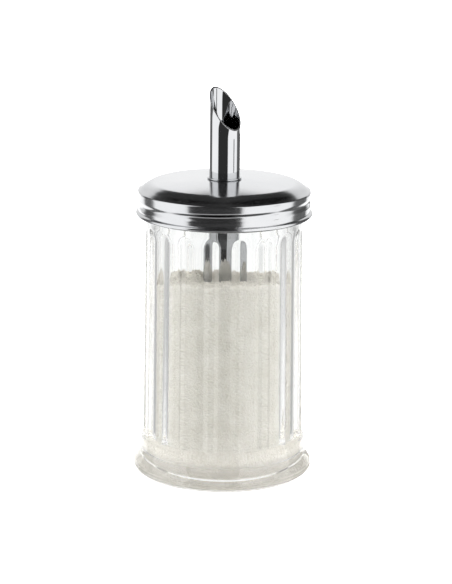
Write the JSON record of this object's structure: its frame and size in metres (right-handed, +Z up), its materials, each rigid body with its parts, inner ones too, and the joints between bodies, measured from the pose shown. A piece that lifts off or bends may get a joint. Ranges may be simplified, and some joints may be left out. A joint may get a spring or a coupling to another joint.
{
  "type": "sugar dispenser",
  "caption": "Ribbed glass sugar jar with a steel screw lid and a steel dosing tube that reaches down into the sugar and ends in a slanted, slightly flared mouth.",
  "frame": {"origin": "centre of the jar's foot, on the surface it stands on", "axes": "+Z up along the jar and the dosing tube, -Y towards the viewer, +X to the right"},
  "size_m": [0.074, 0.074, 0.1584],
  "materials": {
    "glass": "clear pressed glass",
    "sugar": "granular",
    "seal": "matte",
    "steel": "polished stainless sheet"
  },
  "bodies": {
    "jar": {"glass_jar": "glass", "sugar_fill": "sugar"},
    "seal": {"lid_seal_ring": "seal"},
    "collars": {"tube_collar": "steel", "tube_lock_ring": "steel"},
    "lid": {"lid_shell": "steel", "dosing_tube": "steel"}
  },
  "joints": [
    {"name": "lid_lift", "type": "slide", "parent": "jar", "child": "seal", "axis": [0, 0, 1], "range_m": [0, 0.115]},
    {"name": "lid_rise", "type": "slide", "parent": "seal", "child": "collars", "axis": [0, 0, 1], "range_m": [0, 0.0038]},
    {"name": "lid_turn", "type": "hinge", "parent": "collars", "child": "lid", "pos_m": [0, 0, 0.112], "axis": [0, 0, 1], "range_deg": [0, 320]}
  ],
  "couplings": [
    {"joint": "lid_rise", "follows": "lid_turn", "m_per_rad": 0.00063662}
  ]
}
